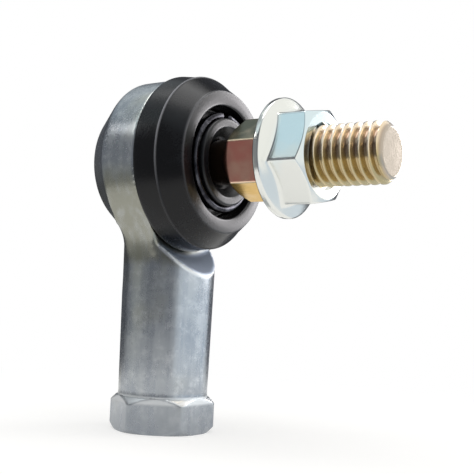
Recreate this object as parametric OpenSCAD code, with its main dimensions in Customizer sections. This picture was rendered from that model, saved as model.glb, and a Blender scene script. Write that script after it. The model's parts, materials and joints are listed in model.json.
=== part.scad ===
// Ball joint rod end: a die-cast housing with a captive ball, a threaded ball stud,
// a rubber dust boot with its snap ring, and a flange nut on the stud.
// The origin is the centre of the housing's tapped end face, +Z points up the shank
// to the ball, and +X points out along the stud.

/* [Housing] */
// Height of the ball centre above the tapped end face
ball_height = 37.5; // [34:0.5:60]
// Diameter of the round head
head_d = 24; // [22.5:0.1:30]
// Length of the head in front of the ball centre
head_front = 2.5; // [2:0.1:3.2]
// Length of the head's full-diameter part behind the ball centre
head_rear = 3.1; // [1.5:0.1:4.5]
// Wall behind the ball
back_wall = 1.4; // [1:0.1:4]
// Diameter of the flat on the coned back of the head
back_flat_d = 17; // [14:0.1:21]
// Rounding of the edges of the coned back
back_round = 0.8; // [0.3:0.1:1.2]
// Shank diameter just above the collar
shank_d = 12.5; // [11:0.1:13]
// Shank diameter at the neck, larger by the casting draft
shank_top_d = 13.1; // [11:0.1:16]
// Depth of the shank's full section below the ball centre
neck_drop = 13.7; // [12.5:0.1:16]
// Radius of the concave fillet between the head and the shank
neck_fillet = 8; // [4:0.5:14]
// Thickness of the neck behind the ball centre
neck_rear = 3.4; // [2:0.1:6]
// Angle at which the neck's corners grow out of the round shank
neck_flare = 40; // [30:1:55]
// Half angle of the clearance cone cut into the shank in front of the head
scoop_angle = 33; // [15:1:50]
// Gap between the boot and the clearance cone where the cone starts
scoop_gap = 0.45; // [0.2:0.05:1]

/* [Wrench collar] */
// Width across the flats of the collar
collar_af = 13; // [12:0.1:18]
// Height of the collar
collar_h = 4.8; // [3:0.1:9]
// How far the collar's corners are rounded off
collar_corner = 0.15; // [0.05:0.05:0.4]
// Chamfer of the collar's end edges
collar_chamfer = 0.5; // [0.2:0.1:1]
// Turn of the collar's hexagon about the shank
collar_turn = 30; // [0:1:60]

/* [Rod thread] */
// Diameter of the tapped hole, as drilled for the thread
tap_d = 6.8; // [4:0.1:9]
// Depth of the full thread
tap_depth = 16; // [8:0.5:17]
// Diameter of the countersink at the mouth of the hole
tap_mouth_d = 8.6; // [8.2:0.1:10]
// Point angle of the drill
drill_point = 118; // [90:1:140]

/* [Ball and socket] */
// Diameter of the ball
ball_d = 12.7; // [11.5:0.05:13.5]
// Radial running clearance of the ball in its socket
socket_fit = 0.05; // [0.02:0.01:0.1]
// Tilt of the stud from its middle position, to any side
swing = 25; // [10:1:27]
// Extra opening of the socket beyond the stud's tilt, in degrees
mouth_spare = 2; // [1:0.5:5]
// Half angle of the flare in front of the socket
flare_angle = 38; // [30:1:50]

/* [Boot seat] */
// Step from the head down to the boss that the boot snaps over
boss_step = 1.4; // [1.1:0.05:2]
// Length of the boss's rim in front of its groove
boss_rim = 0.7; // [0.5:0.05:1]
// Length of the groove behind the rim
groove_w = 0.8; // [0.5:0.05:1]
// Depth of the groove
groove_depth = 0.8; // [0.3:0.05:1.2]

/* [Boot] */
// How far the boot stands out over the head
boot_overhang = 0.45; // [0.1:0.05:1]
// Length of the boot's band, up to the crease
band_len = 3.6; // [3:0.1:4.2]
// How far the band narrows towards the crease
crease_drop = 0.5; // [0:0.05:0.8]
// Length of the boot from the head to its front face
boot_len = 6.65; // [6.3:0.05:8]
// Width of the ring-shaped front face
face_w = 2; // [1.4:0.05:2.6]
// Wall of the boot's folds
boot_wall = 1.1; // [0.8:0.05:1.2]
// Depth of the fold between the front face and the lip
fold_depth = 2.85; // [2.4:0.05:3]
// Radial gap between the snap ring and the boot's front face
mouth_gap = 0.85; // [0.5:0.05:1.1]
// How far the lip stands out in front of the front face
lip_reach = 0.45; // [0.1:0.05:0.8]
// Length of the lip's bead in front of the snap ring
bead_len = 0.55; // [0.4:0.05:0.8]
// Diameter of the lip under the snap ring
lip_d = 11.7; // [11:0.1:12.4]
// Rise of the lip on both sides of the snap ring
bead_rise = 0.25; // [0.15:0.05:0.45]
// Diameter of the hollow in the front of the lip
hollow_d = 9.8; // [9:0.1:10.5]
// Length of the seal that runs on the stud's neck
seal_len = 1.1; // [0.6:0.05:1.4]
// Clearance of the boot on the pieces that it fits
boot_fit = 0.05; // [0.02:0.01:0.1]
// Rounding of the boot's outer edges
boot_edge = 0.4; // [0.2:0.05:0.5]
// Rounding inside the boot's folds
fold_round = 0.25; // [0.1:0.05:0.3]
// Rounding at the boot's small beads and seats
bead_round = 0.1; // [0.05:0.01:0.1]

/* [Snap ring] */
// Wire diameter of the snap ring
wire_d = 1.1; // [0.8:0.05:1.2]
// Opening between the ends of the snap ring, in degrees
ring_open = 9; // [4:1:20]

/* [Stud] */
// Diameter of the stud's neck
neck_d = 6.2; // [5:0.1:6.6]
// Distance from the ball centre to the hexagon
hex_start = 12.2; // [11.6:0.1:16]
// Length of the hexagon
hex_len = 6.2; // [4:0.1:10]
// Width across the flats of the hexagon
hex_af = 9.8; // [9.3:0.1:13]
// Turn of the hexagon about the stud's axis
hex_turn = 10.5; // [0:0.5:60]
// Length of the cone between the neck and the hexagon
shoulder_len = 1.6; // [0.8:0.1:1.8]
// Distance from the ball centre to the stud's tip
stud_reach = 34; // [31:0.5:60]
// Outer diameter of the thread
thread_d = 8; // [7.4:0.1:9]
// Pitch of the thread
thread_pitch = 1.25; // [0.75:0.05:1.5]
// Chamfer at the tip of the thread
tip_chamfer = 0.8; // [0.5:0.1:1.5]

/* [Flange nut] */
// Width across the flats of the nut
nut_af = 11.8; // [11.5:0.1:15]
// Height of the nut
nut_h = 6.2; // [5:0.1:9]
// Diameter of the flange
flange_d = 16; // [15:0.1:22]
// Thickness of the flange at its rim
flange_rim = 0.9; // [0.6:0.1:1.5]
// Rounding of the flange's rim
flange_edge = 0.3; // [0.1:0.05:0.4]
// Half angle of the flange's cone, from the nut's face
flange_angle = 25; // [10:1:35]
// Turn of the nut's hexagon about the stud's axis
nut_turn = 42; // [0:1:60]
// Radial clearance between the nut and the thread
nut_fit = 0.05; // [0.02:0.01:0.1]
// Diameter of the countersink at the nut's outer end
nut_mouth_d = 8.8; // [8.6:0.1:9.6]

/* [Hidden] */
$fn = 96;
// Steps of a rounded corner, and the reach of a cut past its face
arc_steps = 5;
over = 1;
// Angle of a wrench hexagon's chamfer, and the share of its flats where the chamfer starts
chamfer_angle = 30;
chamfer_share = 0.95;

ball_r = ball_d / 2;
socket_r = ball_r + socket_fit;
neck_r = neck_d / 2;
head_r = head_d / 2;
head_back = socket_r + back_wall;
shank_r = shank_top_d / 2;
collar_r = collar_af / sqrt(3) - collar_corner;

mouth_angle = swing + asin(neck_r / socket_r) + mouth_spare;
mouth_x = socket_r * cos(mouth_angle);
mouth_r = socket_r * sin(mouth_angle);

boss_r = head_r - boss_step;
groove_r = boss_r - groove_depth;
rim_start = head_front + groove_w;
boss_front = rim_start + boss_rim;

wire_r = wire_d / 2;
lip_r = lip_d / 2;
ring_r = lip_r + boot_fit + wire_r;
band_r = head_r + boot_overhang;
crease_r = band_r - crease_drop;
boot_rear = head_front + boot_fit;
crease_x = head_front + band_len;
face_x = head_front + boot_len;
lip_x = face_x + lip_reach;
ring_x = lip_x - bead_len - boot_fit - wire_r;
fold_mouth_r = ring_r + wire_r + mouth_gap;
face_r = fold_mouth_r + face_w;
fold_x = face_x - fold_depth;
scoop_r = band_r + scoop_gap;

hex_end = hex_start + hex_len;
hex_r = hex_af / sqrt(3);
hex_in_r = hex_af / 2;
thread_r = thread_d / 2;
// Thread of 60 degrees, with a flat crest and a flat root
thread_height = thread_pitch * sqrt(3) / 2;
root_r = thread_r - thread_height * 5 / 8;
crest_w = thread_pitch / 8;
flank_w = (thread_r - root_r) / sqrt(3);
// Radius halfway down the thread's flanks, where the nut and the stud bear on each other
bearing_r = thread_r - thread_height * 3 / 8;
nut_end = hex_end + nut_h;
thread_end = stud_reach - tip_chamfer;
crest_count = floor((thread_end - nut_end - crest_w - flank_w) / thread_pitch) + 1;
nut_r = nut_af / sqrt(3);
nut_in_r = nut_af / 2;
flange_r = flange_d / 2;

function unit(v) = v / norm(v);

// Arc that rounds the corner b, between its neighbours a and c
function corner(a, b, c, radius) =
    let (
        u = unit(a - b),
        v = unit(c - b),
        half = acos(u * v) / 2,
        centre = b + unit(u + v) * radius / sin(half),
        first = b + u * radius / tan(half) - centre,
        last = b + v * radius / tan(half) - centre,
        turn = 180 - 2 * half
    )
    [for (i = [0 : arc_steps])
        let (t = i / arc_steps)
        centre + (first * sin((1 - t) * turn) + last * sin(t * turn)) / sin(turn)];

// Closed outline with each corner [x, r, radius] rounded by its own radius
function rounded(points) =
    let (
        n = len(points),
        flat = [for (p = points) [p[0], p[1]]]
    )
    [for (i = [0 : n - 1])
        let (b = flat[i], radius = points[i][2])
        each radius > 0
            ? corner(flat[(i + n - 1) % n], b, flat[(i + 1) % n], radius)
            : [b]];

// Outline of one crest of the thread, whose front edge is at x
function crest(x) = [
    [x - crest_w - flank_w, root_r],
    [x - crest_w, thread_r],
    [x, thread_r],
    [x + flank_w, root_r]
];

// Places a shape drawn about +Z on the stud's axis, with its origin at the ball centre
module along_stud() {
    translate([0, 0, ball_height])
        rotate([0, 90, 0])
            children();
}

// Solid turned about the stud's axis from an outline of [distance from the ball centre, radius]
module turned(outline) {
    along_stud()
        rotate_extrude()
            polygon([for (p = outline) [p[1], p[0]]]);
}

// Hexagonal bar on the stud's axis
module hex_bar(from, to, across_corners_r, turn) {
    along_stud()
        translate([0, 0, from])
            rotate([0, 0, turn])
                cylinder(h = to - from, r = across_corners_r, $fn = 6);
}

module head() {
    turned(rounded([
        [-head_back, 0, 0],
        [-head_back, back_flat_d / 2, back_round],
        [-head_rear, head_r, back_round],
        [head_front, head_r, 0],
        [head_front, 0, 0]
    ]));
}

// Flanks that run from the head into the shank in a concave fillet on each side
module neck_flanks() {
    fillet_y = shank_r + neck_fillet;
    fillet_z = -sqrt(pow(head_r + neck_fillet, 2) - pow(fillet_y, 2));
    tangent = head_r / (head_r + neck_fillet);
    translate([head_front, 0, ball_height])
        rotate([90, 0, -90])
            linear_extrude(head_front + neck_rear)
                difference() {
                    polygon([
                        [-fillet_y * tangent, fillet_z * tangent],
                        [-fillet_y * tangent, fillet_z],
                        [fillet_y * tangent, fillet_z],
                        [fillet_y * tangent, fillet_z * tangent],
                        [0, 0]
                    ]);
                    for (side = [-1, 1])
                        translate([side * fillet_y, fillet_z])
                            circle(r = neck_fillet);
                }
}

// Neck trimmed so that its corners grow out of the round shank
module neck() {
    rise = neck_drop + over;
    growth = rise * tan(neck_flare);
    intersection() {
        neck_flanks();
        translate([0, 0, ball_height - neck_drop - over])
            cylinder(h = rise, r1 = shank_r - over, r2 = shank_r - over + growth);
    }
}

module shank() {
    foot = collar_h / 2;
    straight = ball_height - neck_drop - collar_h;
    draft = (shank_top_d - shank_d) / 2 / straight;
    rise = neck_drop - head_back;
    translate([0, 0, foot])
        cylinder(
            h = foot + straight + rise,
            r1 = shank_d / 2 - draft * foot,
            r2 = shank_r + draft * rise
        );
}

module collar() {
    intersection() {
        rotate([0, 0, collar_turn])
            cylinder(h = collar_h, d = collar_af * 2 / sqrt(3), $fn = 6);
        rotate_extrude()
            polygon([
                [0, 0],
                [collar_r - collar_chamfer, 0],
                [collar_r, collar_chamfer],
                [collar_r, collar_h - collar_chamfer],
                [collar_r - collar_chamfer, collar_h],
                [0, collar_h]
            ]);
    }
}

// Boss with the groove that the boot's inner bead snaps into
module boss() {
    turned([
        [head_front - over, 0],
        [head_front - over, groove_r],
        [rim_start, groove_r],
        [rim_start, boss_r],
        [boss_front, boss_r],
        [boss_front, 0]
    ]);
}

// Clearance for the boot, cut into the top of the shank
module scoop() {
    depth = shank_r + over;
    turned([
        [head_front, 0],
        [head_front, scoop_r],
        [head_front + depth, scoop_r + depth * tan(scoop_angle)],
        [head_front + depth, 0]
    ]);
}

module socket() {
    flare = boss_front + over - mouth_x;
    along_stud()
        sphere(r = socket_r);
    turned([
        [0, 0],
        [mouth_x, mouth_r],
        [mouth_x + flare, mouth_r + flare * tan(flare_angle)],
        [mouth_x + flare, 0]
    ]);
}

module rod_hole() {
    tap_r = tap_d / 2;
    mouth = tap_mouth_d / 2 - tap_r;
    translate([0, 0, -over])
        cylinder(h = tap_depth + over, r = tap_r);
    translate([0, 0, tap_depth])
        cylinder(h = tap_r / tan(drill_point / 2), r1 = tap_r, r2 = 0);
    translate([0, 0, -over])
        cylinder(h = mouth + over, r1 = tap_r + mouth + over, r2 = tap_r);
}

module housing() {
    color("silver")
        difference() {
            union() {
                difference() {
                    union() {
                        head();
                        neck();
                        shank();
                        collar();
                    }
                    scoop();
                }
                boss();
            }
            socket();
            rod_hole();
        }
}

// Ball with the flat that the stud is welded to
module ball() {
    weld_x = sqrt(pow(ball_r, 2) - pow(neck_r, 2));
    color("lightsteelblue")
        difference() {
            along_stud()
                sphere(r = ball_r);
            along_stud()
                translate([0, 0, weld_x])
                    cylinder(h = ball_r, r = ball_r);
        }
}

// Neck and shoulder, the wrench hexagon, and the thread. Where the thread is free, its crests are
// rings at its pitch. Inside the nut it is plain, at the radius where the nut bears on it.
module stud() {
    weld_x = sqrt(pow(ball_r, 2) - pow(neck_r, 2));
    shoulder_r = hex_in_r * chamfer_share;
    clear_r = hex_r + over;
    corner_len = (clear_r - shoulder_r) * tan(chamfer_angle);
    color("goldenrod")
        union() {
            turned([
                [weld_x, 0],
                [weld_x, neck_r],
                [hex_start - shoulder_len, neck_r],
                [hex_start, shoulder_r],
                [hex_start + over, shoulder_r],
                [hex_start + over, 0]
            ]);
            intersection() {
                hex_bar(hex_start, hex_end, hex_r, hex_turn);
                turned([
                    [hex_start, 0],
                    [hex_start, shoulder_r],
                    [hex_start + corner_len, clear_r],
                    [hex_end, clear_r],
                    [hex_end, 0]
                ]);
            }
            turned([
                [hex_end - over, 0],
                [hex_end - over, bearing_r],
                [nut_end, bearing_r],
                [nut_end, root_r],
                for (i = [crest_count - 1 : -1 : 0])
                    each crest(thread_end - i * thread_pitch),
                [stud_reach, min(root_r, thread_r - tip_chamfer)],
                [stud_reach, 0]
            ]);
        }
}

// One moulding: bead in the boss groove, band, cone, front face, fold and lip, then the inside back
module boot() {
    seal_r = neck_r + boot_fit;
    bead_r = lip_r + bead_rise;
    ring_seat = wire_r + boot_fit;
    sleeve_r = lip_r + bead_rise + boot_fit;
    wall_r = fold_mouth_r + boot_wall;
    fold_back = fold_x - boot_wall;
    seal_x = ring_x - ring_seat;
    lip_round = min(boot_edge, bead_len - 2 * bead_round);
    color([0.08, 0.08, 0.09])
        turned(rounded([
            [boot_rear, band_r, boot_edge],
            [crease_x, crease_r, fold_round],
            [face_x, face_r, boot_edge],
            [face_x, fold_mouth_r, fold_round],
            [fold_x, fold_mouth_r - mouth_gap / 3, fold_round],
            [fold_x, sleeve_r, fold_round],
            [seal_x, sleeve_r, bead_round],
            [seal_x, lip_r, bead_round],
            [ring_x + ring_seat, lip_r, bead_round],
            [ring_x + ring_seat, bead_r, bead_round],
            [lip_x, bead_r, lip_round],
            [lip_x, hollow_d / 2, lip_round],
            [seal_x + boot_wall / 4, seal_r + boot_wall / 2, bead_round],
            [seal_x, seal_r, 0],
            [seal_x - seal_len, seal_r, bead_round],
            [fold_x, hollow_d / 2, fold_round],
            [fold_back, hollow_d / 2 + boot_wall / 2, fold_round],
            [fold_back, wall_r, fold_round],
            [face_x - boot_wall, wall_r, bead_round],
            [face_x - boot_wall, face_r - boot_wall / 2, bead_round],
            [crease_x, crease_r - boot_wall, fold_round],
            [boss_front + boot_wall / 3, boss_r + boot_wall / 2, bead_round],
            [boss_front + boot_wall / 3, boss_r + boot_fit, bead_round],
            [rim_start - boot_fit, boss_r + boot_fit, 0],
            [rim_start - boot_fit, groove_r + boot_fit, 0],
            [boot_rear, groove_r + boot_fit, 0]
        ]));
}

// Open wire ring round the boot's lip
module boot_ring() {
    color("gray")
        along_stud()
            translate([0, 0, ring_x])
                rotate([0, 0, 90 + ring_open / 2])
                    rotate_extrude(angle = 360 - ring_open)
                        translate([ring_r, 0])
                            circle(r = wire_r);
}

module flange_nut() {
    crown_r = nut_in_r * chamfer_share;
    clear_r = nut_r + over;
    corner_len = (clear_r - crown_r) * tan(chamfer_angle);
    cone_r = nut_in_r - flange_rim;
    cone_len = (flange_r - cone_r) * tan(flange_angle);
    bore_r = bearing_r + nut_fit;
    mouth_len = nut_mouth_d / 2 - bore_r;
    color("gainsboro")
        difference() {
            union() {
                intersection() {
                    hex_bar(hex_end, nut_end, nut_r, nut_turn);
                    turned([
                        [hex_end, 0],
                        [hex_end, clear_r],
                        [nut_end - corner_len, clear_r],
                        [nut_end, crown_r],
                        [nut_end, 0]
                    ]);
                }
                turned(rounded([
                    [hex_end, 0, 0],
                    [hex_end, flange_r, flange_edge / 2],
                    [hex_end + flange_rim, flange_r, flange_edge],
                    [hex_end + flange_rim + cone_len, cone_r, 0],
                    [hex_end + flange_rim + cone_len, 0, 0]
                ]));
            }
            turned([
                [hex_end - over, 0],
                [hex_end - over, bore_r],
                [nut_end - mouth_len, bore_r],
                [nut_end + over, nut_mouth_d / 2 + over],
                [nut_end + over, 0]
            ]);
        }
}

housing();
ball();
stud();
boot();
boot_ring();
flange_nut();
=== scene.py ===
"""Dresses the ball joint rod end: cast housing, plated stud and nut, rubber boot and its snap ring.

Lengths are in millimetres and measured from the ball centre unless a docstring says otherwise. Turned
pieces are drawn as (distance along their axis, radius), and every finished mesh is in metres, in the frame.
In a finish, a span is the stretch of a pattern or a place over which a tone comes in, a share is how far it
comes in, ragged is how far the clouds move its edge, and rough is how far a pattern moves the roughness.
"""
import json
import logging
import math
from dataclasses import dataclass
from enum import Enum
from typing import Any, ClassVar, Iterable, Sequence, Union

import bmesh
import bpy
import numpy as np
from mathutils import Matrix, Vector

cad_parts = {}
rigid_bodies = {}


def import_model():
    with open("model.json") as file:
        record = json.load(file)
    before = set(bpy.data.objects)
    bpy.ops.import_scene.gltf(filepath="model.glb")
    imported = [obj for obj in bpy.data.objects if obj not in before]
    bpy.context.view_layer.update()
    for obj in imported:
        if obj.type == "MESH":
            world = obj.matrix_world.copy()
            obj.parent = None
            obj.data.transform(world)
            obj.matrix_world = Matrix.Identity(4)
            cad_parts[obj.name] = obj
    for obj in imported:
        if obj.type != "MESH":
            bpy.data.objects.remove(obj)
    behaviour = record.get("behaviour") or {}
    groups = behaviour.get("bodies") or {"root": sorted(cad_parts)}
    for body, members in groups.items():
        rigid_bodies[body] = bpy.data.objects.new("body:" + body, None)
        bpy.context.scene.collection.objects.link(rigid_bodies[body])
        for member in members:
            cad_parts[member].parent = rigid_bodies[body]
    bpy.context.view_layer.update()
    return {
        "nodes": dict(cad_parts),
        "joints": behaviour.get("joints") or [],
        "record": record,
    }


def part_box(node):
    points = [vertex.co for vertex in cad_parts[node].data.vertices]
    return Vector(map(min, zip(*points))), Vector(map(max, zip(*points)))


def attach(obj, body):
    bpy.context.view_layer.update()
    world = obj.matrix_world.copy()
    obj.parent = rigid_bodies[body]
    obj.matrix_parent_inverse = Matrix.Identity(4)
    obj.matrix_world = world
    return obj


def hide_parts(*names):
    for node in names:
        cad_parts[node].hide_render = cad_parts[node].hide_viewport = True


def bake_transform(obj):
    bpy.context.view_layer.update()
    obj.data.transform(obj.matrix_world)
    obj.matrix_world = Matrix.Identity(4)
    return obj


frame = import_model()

MM = 0.001
PHOTO_SIDE = 474
PITCH = 1.25
WHITE = (1.0, 1.0, 1.0)
LOG = logging.getLogger("rod_end")

Triple = tuple[float, float, float]
Colour = Triple
Span = tuple[float, float]
Band = tuple[Span, Span]
Value = Union["Wire", float, Sequence[float]]
Sizes = Union[np.ndarray, float]


class Axis(Enum):
    """The two axes that pieces are turned about, as the parts of a turned point that x, y and z take."""

    STUD = (0, 1, 2)
    SHANK = (1, 2, 0)


class Wire:
    """One socket of a node tree, with operators that add Math nodes."""

    def __init__(self, tree: "Tree", socket: bpy.types.NodeSocket) -> None:
        """Keeps the socket and the tree that it is in."""
        self.tree = tree
        self.socket = socket

    def __add__(self, other: Value) -> "Wire":
        """Sum."""
        return self.tree.math("ADD", self, other)

    def __sub__(self, other: Value) -> "Wire":
        """Difference."""
        return self.tree.math("SUBTRACT", self, other)

    def __rsub__(self, other: Value) -> "Wire":
        """Difference from a plain number."""
        return self.tree.math("SUBTRACT", other, self)

    def __mul__(self, other: Value) -> "Wire":
        """Product."""
        return self.tree.math("MULTIPLY", self, other)

    def __truediv__(self, other: Value) -> "Wire":
        """Quotient."""
        return self.tree.math("DIVIDE", self, other)

    def __rtruediv__(self, other: Value) -> "Wire":
        """Quotient of a plain number and the value."""
        return self.tree.math("DIVIDE", other, self)

    __radd__ = __add__
    __rmul__ = __mul__

    def least(self, other: Value) -> "Wire":
        """Smaller of two values."""
        return self.tree.math("MINIMUM", self, other)

    def most(self, other: Value) -> "Wire":
        """Larger of two values."""
        return self.tree.math("MAXIMUM", self, other)

    def step(self, span: Span, low: float = 0.0, high: float = 1.0) -> "Wire":
        """Smooth step from low to high over a span of the value."""
        settings = {"interpolation_type": "SMOOTHSTEP"}
        return self.tree.add("ShaderNodeMapRange", settings, self, *span, low, high)

    def band(self, rise: Span, fall: Span) -> "Wire":
        """Smooth step from 0 to 1 over the first span and back to 0 over the second."""
        return self.step(rise) * self.step(fall, 1.0, 0.0)

    def sway(self, reach: float) -> "Wire":
        """Value from 0 to 1, as one that is centred on 0 and reaches half as far to either side."""
        return (self - 0.5) * reach

    def out(self, name: str) -> "Wire":
        """Another output of the same node, by its name."""
        return Wire(self.tree, self.socket.node.outputs[name])


class Tree:
    """A node tree that nodes are added to by type, settings and inputs."""

    def __init__(self, tree: bpy.types.NodeTree) -> None:
        """Keeps the tree and empties it."""
        self.tree = tree
        tree.nodes.clear()

    def add(self, kind: str, settings: dict[str, Any] | None = None, *inputs: Value, **named: Value) -> Wire:
        """Adds one node.

        Args:
            kind: The node's type name.
            settings: Properties that are set before the sockets.
            inputs: Values or links of the enabled input sockets, in order.
            named: Values or links of input sockets by name, with spaces as underscores.

        Returns:
            The node's first enabled output, or its first input where it has no output.
        """
        node = self.tree.nodes.new(kind)
        for name, value in (settings or {}).items():
            setattr(node, name, value)
        for socket, value in zip([s for s in node.inputs if s.enabled], inputs):
            self._feed(socket, value)
        for name, value in named.items():
            self._feed(node.inputs[name.replace("_", " ")], value)
        outputs = [s for s in node.outputs if s.enabled]
        return Wire(self, (outputs or node.inputs)[0])

    def _feed(self, socket: bpy.types.NodeSocket, value: Value) -> None:
        """Links or sets one input socket.

        Args:
            socket: The socket.
            value: A wire to link, or a plain value, where a colour has no alpha.
        """
        if isinstance(value, Wire):
            self.tree.links.new(value.socket, socket)
        elif socket.type == "RGBA":
            socket.default_value = (*value, 1.0)
        else:
            socket.default_value = value

    def math(self, operation: str, *values: Value) -> Wire:
        """Adds a Math node."""
        return self.add("ShaderNodeMath", {"operation": operation}, *values)

    def mix(self, factor: Value, first: Value, second: Value) -> Wire:
        """Colour that runs from first to second as factor goes from 0 to 1."""
        return self.add("ShaderNodeMix", {"data_type": "RGBA"}, factor, first, second)

    def parts(self, place: Wire) -> tuple[Wire, ...]:
        """The x, y and z of a vector."""
        split = self.add("ShaderNodeSeparateXYZ", None, place)
        return tuple(split.out(name) for name in "XYZ")

    def length(self, place: Wire) -> Wire:
        """Length of a vector."""
        return self.add("ShaderNodeVectorMath", {"operation": "LENGTH"}, place).out("Value")


@dataclass(frozen=True)
class Noise:
    """A pattern: its waves to the millimetre, its layers, the strength of finer ones and its stretch.

    Its span and share say where and how far it brings in a tone of its own.
    """

    waves: float
    layers: float = 3.0
    strength: float = 0.5
    stretch: Triple = (1.0, 1.0, 1.0)
    span: Span = (0.0, 1.0)
    share: float = 1.0


class Surface(Tree):
    """The node tree of one material, with the coordinates and patterns that the finishes share."""

    ACROSS_STUD = (0.0, 1.0, 1.0)

    def __init__(self, name: str, centre: Vector) -> None:
        """Makes a material with an empty tree.

        Args:
            name: The material's name.
            centre: The point that its patterns are centred on, in metres.
        """
        self.material = bpy.data.materials.new(name)
        self.material.use_nodes = True
        super().__init__(self.material.node_tree)
        self.centre = centre
        self.place = self.add("ShaderNodeTexCoord").out("Object")
        self.even = self.moved((1.0, 1.0, 1.0))

    def moved(self, stretch: Triple) -> Wire:
        """Object coordinates in millimetres from the centre.

        Args:
            stretch: Factor on each axis, below 1 for a pattern that is drawn out.

        Returns:
            The moved coordinates.
        """
        scale = [s / MM for s in stretch]
        shift = [-c * s for c, s in zip(self.centre, scale)]
        return self.add("ShaderNodeMapping", None, self.place, Location=shift, Scale=scale)

    def off_axis(self) -> Wire:
        """Distance from the stud's axis, in millimetres."""
        return self.length(self.moved(self.ACROSS_STUD))

    def noise(self, pattern: Noise) -> Wire:
        """Noise from 0 to 1 in a pattern."""
        sockets = {"Scale": pattern.waves, "Detail": pattern.layers, "Roughness": pattern.strength}
        return self.add("ShaderNodeTexNoise", None, self.moved(pattern.stretch), **sockets)

    def patches(self, pattern: Noise) -> Wire:
        """How far a pattern brings in its tone, from 0 to its share."""
        return self.noise(pattern).step(pattern.span, 0.0, pattern.share)

    def stored(self, name: str) -> Wire:
        """Value of an attribute that the mesh stores."""
        return self.add("ShaderNodeAttribute", {"attribute_name": name}).out("Fac")

    def finish(self, relief: Wire, depth: float, **sockets: Value) -> bpy.types.Material:
        """Adds the shader with its bump, and the output.

        Args:
            relief: Height of the surface's fine relief, from 0 to 1.
            depth: Height of that relief in millimetres.
            sockets: Values or links of the shader's sockets, with spaces as underscores.

        Returns:
            The finished material.
        """
        bump = self.add("ShaderNodeBump", None, Strength=1.0, Distance=depth * MM, Height=relief)
        shader = self.add("ShaderNodeBsdfPrincipled", None, Normal=bump, **sockets)
        return self.shown(shader)

    def shown(self, shader: Wire) -> bpy.types.Material:
        """Adds the output and returns the finished material."""
        self.add("ShaderNodeOutputMaterial", None, shader)
        return self.material


@dataclass(frozen=True)
class CastZinc:
    """Die-cast zinc: cloudy, frosted grey with flow marks, painted shade on the neck under the head and on
    the lower end, a painted blue-grey reflection on the clearance cone, and painted highlights on its edge
    and the collar's top.
    """

    light: Colour = (0.56, 0.59, 0.61)
    dark: Colour = (0.43, 0.46, 0.5)
    warm: Colour = (0.57, 0.57, 0.5)
    # Painted shade with a warm tint of the reflected floor, for the concave neck under the head.
    neck: Colour = (0.3, 0.3, 0.255)
    # Painted shade: darker grey for the lower end near the floor.
    handled: Colour = (0.2, 0.22, 0.25)
    # Painted reflection: blue-grey for the clearance cone under the boot.
    raw: Colour = (0.43, 0.49, 0.585)
    # Lighter grey of the frost, also the colour of the painted highlights on the collar's top edge and the
    # clearance cone's edge.
    bright: Colour = (0.8, 0.82, 0.83)
    clouds: Noise = Noise(0.17, 4.0, 0.6)
    flow: Noise = Noise(0.8, 3.0, 0.55, (1.0, 1.0, 0.1))
    grain: Noise = Noise(1.7, 4.0, 0.6)
    stains: Noise = Noise(0.1, 2.0, span=(0.48, 0.66), share=0.7)
    frost: Noise = Noise(0.75, 5.0, 0.7, span=(0.46, 0.68), share=0.45)
    cloud_span: Span = (0.36, 0.62)
    neck_band: Band = ((-15.4, -13.4), (-5.0, -1.0))
    neck_ragged: float = 4.0
    streak_span: Span = (0.3, 0.6)
    streak_share: float = 0.75
    handled_span: Span = (1.0, 8.0)
    handled_share: float = 0.6
    handled_ragged: float = 6.0
    rim_band: Band = ((-1.0, -0.5), (0.1, 0.4))
    raw_span: Span = (-0.5, -0.2)
    raw_fade: float = 0.4
    edge_band: Band = ((-0.85, -0.5), (-0.3, 0.0))
    roughness: float = 0.28
    raw_roughness: float = 0.62
    rim_share: float = 0.6
    cloud_rough: float = 0.16
    flow_rough: float = 0.16
    grain_rough: float = 0.1
    relief: float = 0.012
    relief_grain: float = 0.4

    def build(self, housing: "Housing") -> bpy.types.Material:
        """Makes the material.

        Args:
            housing: The housing, whose collar and clearance cone carry painted highlights and a painted
                reflection.

        Returns:
            The finished material.
        """
        s = Surface("cast_zinc", housing.centre)
        x, _, z = s.parts(s.even)
        cloud, flow, grain = (s.noise(n) for n in (self.clouds, self.flow, self.grain))
        tone = s.mix(((cloud + flow) / 2.0).step(self.cloud_span), self.dark, self.light)
        tone = s.mix(s.patches(self.stains), tone, self.warm)
        tone = s.mix(s.patches(self.frost), tone, self.bright)
        # Painted shade with a warm reflected tint on the neck under the head, broken into streaks by the flow
        # marks.
        neck = (z + cloud.sway(self.neck_ragged)).band(*self.neck_band)
        tone = s.mix(neck * flow.step(self.streak_span, self.streak_share), tone, self.neck)
        height = z + housing.centre.z / MM
        # Painted shade: the lower end is darker towards the floor, with ragged edges.
        low_shade_mask = (height + cloud.sway(self.handled_ragged)).step(self.handled_span, self.handled_share, 0.0)
        tone = s.mix(low_shade_mask, tone, self.handled)
        # Painted highlight: a bright band round the collar's top edge, which is also made rougher below.
        rim = (height - housing.collar_h).band(*self.rim_band)
        tone = s.mix(rim, tone, self.bright)
        # Painted reflection: the clearance cone under the boot is painted a lighter blue-grey, fading in from
        # its start, and made rougher below.
        ahead = x - housing.scoop_start
        inside = housing.scoop_r + ahead * housing.scoop_slope - s.off_axis()
        cut = ahead.step((0.0, self.raw_fade))
        raw = inside.step(self.raw_span) * cut
        tone = s.mix(raw, tone, self.raw)
        # Painted highlight: a bright line along the clearance cone's edge.
        tone = s.mix(inside.band(*self.edge_band) * cut, tone, self.bright)
        rough = self.roughness + cloud.sway(self.cloud_rough) + flow.sway(self.flow_rough)
        rough = rough + grain.sway(self.grain_rough)
        rough = rough + raw.most(rim * self.rim_share) * (self.raw_roughness - self.roughness)
        relief = grain * self.relief_grain + flow * (1.0 - self.relief_grain)
        return s.finish(relief, self.relief, Base_Color=tone, Metallic=1.0, Roughness=rough)


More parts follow.
